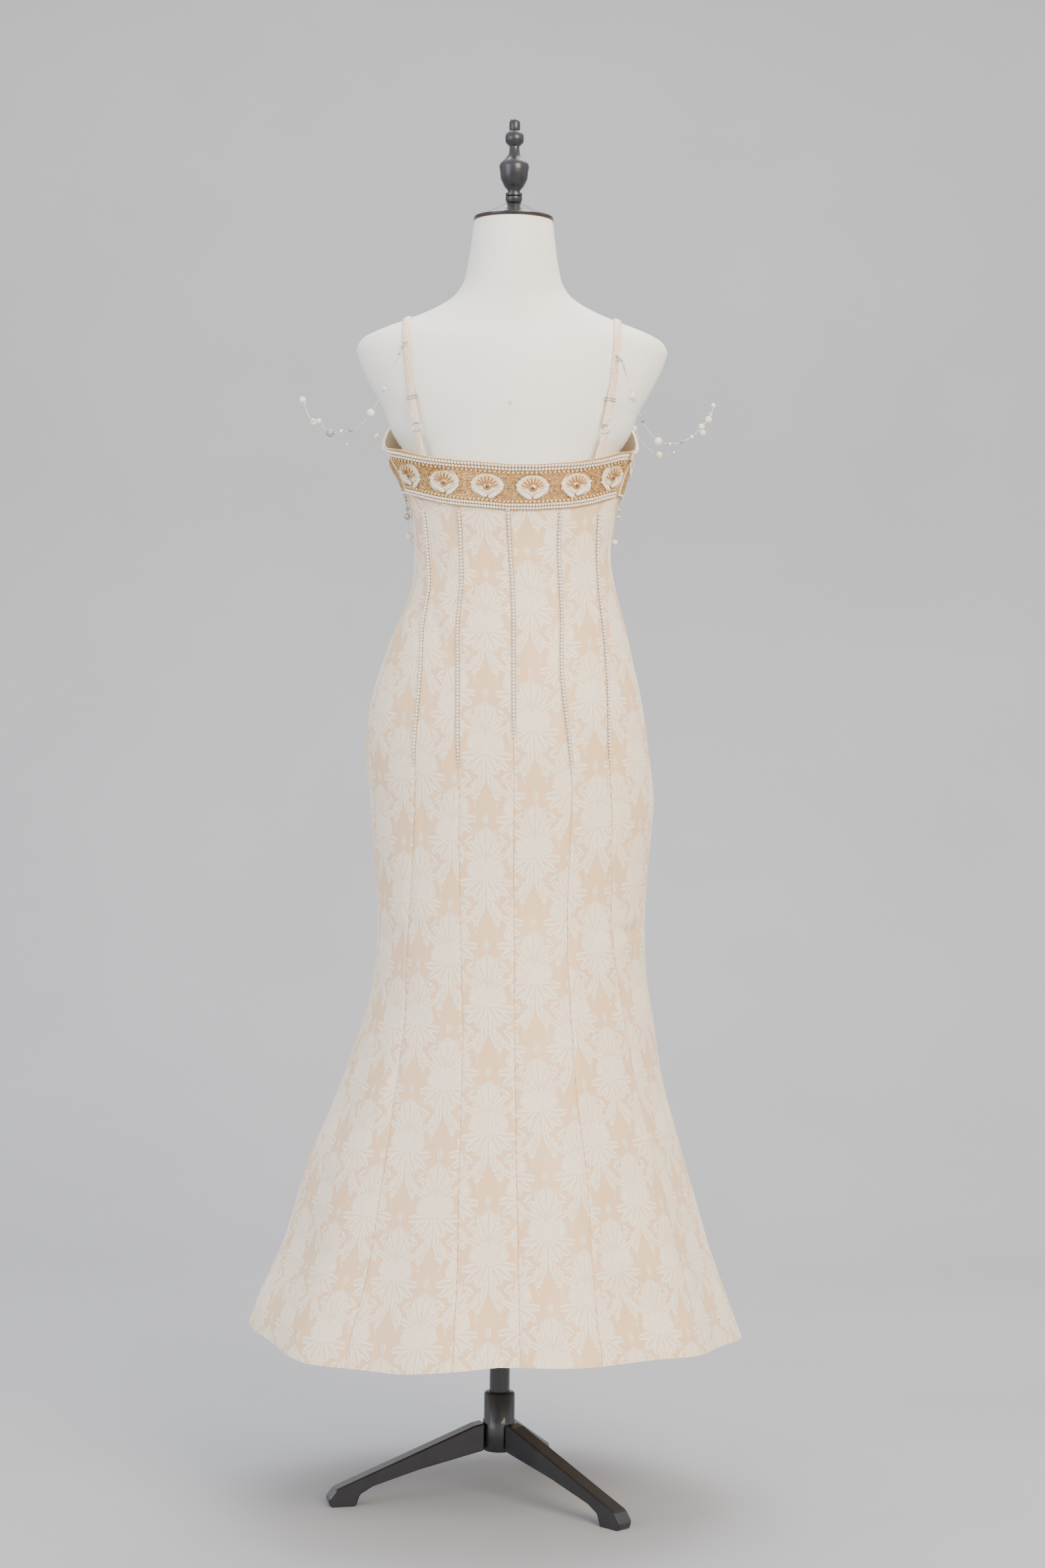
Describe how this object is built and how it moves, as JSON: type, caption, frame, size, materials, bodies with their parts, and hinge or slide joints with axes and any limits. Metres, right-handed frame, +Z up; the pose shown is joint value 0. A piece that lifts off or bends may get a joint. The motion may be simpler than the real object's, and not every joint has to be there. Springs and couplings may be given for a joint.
{
  "type": "mermaid midi dress on a dress form with stand",
  "caption": "Strapless-line brocade mermaid midi dress with bead-embroidered band, narrow straps and pearl arm garlands, on a limbless dress form with tripod stand.",
  "frame": {"origin": "on the floor under the pole, at the middle of the hem", "axes": "+Z up, the back of the dress faces -Y, its front +Y, +X is the wearer's right"},
  "size_m": [0.6028, 0.5947, 1.6971],
  "materials": {
    "brocade": "cream and gold jacquard, satin sheen",
    "band": "gold bead embroidery with pearl borders",
    "form_cloth": "matt off-white, smooth",
    "stand": "black satin lacquer",
    "metal": "polished",
    "pearl": "cream pearl lustre",
    "pull": "ivory enamel"
  },
  "bodies": {
    "stand": {"hub": "stand", "leg_1": "stand", "leg_2": "stand", "leg_3": "stand", "pole_clamp": "stand", "pole_lower": "stand"},
    "form": {"back_centre_left": "brocade", "back_centre_right": "brocade", "back_mid_left": "brocade", "back_mid_right": "brocade", "back_side_left": "brocade", "back_side_right": "brocade", "band_back": "band", "band_front": "band", "cup_left": "brocade", "cup_right": "brocade", "finial": "stand", "front_centre": "brocade", "front_mid_left": "brocade", "front_mid_right": "brocade", "front_side_left": "brocade", "front_side_right": "brocade", "garland_left": "pearl", "garland_right": "pearl", "neck_cap": "stand", "pole_upper": "stand", "strap_fold_left": "brocade", "strap_fold_right": "brocade", "strap_left": "brocade", "strap_right": "brocade", "strap_ring_left": "metal", "strap_ring_right": "metal", "strap_slider_left": "metal", "strap_slider_right": "metal", "strap_tab_left": "brocade", "strap_tab_right": "brocade", "torso": "form_cloth", "waist_strand": "pearl", "zip_slider": "metal"},
    "zip_pull": {"zip_pull": "pull"}
  },
  "joints": [
    {"name": "pole_height", "type": "slide", "parent": "stand", "child": "form", "axis": [0, 0, 1], "range_m": [-0.15, 0.18]},
    {"name": "zip_pull_swing", "type": "hinge", "parent": "form", "child": "zip_pull", "pos_m": [0.14688, -0.03065, 1.27413], "axis": [-0.4292, -0.9032, 0], "range_deg": [0, 90]}
  ]
}
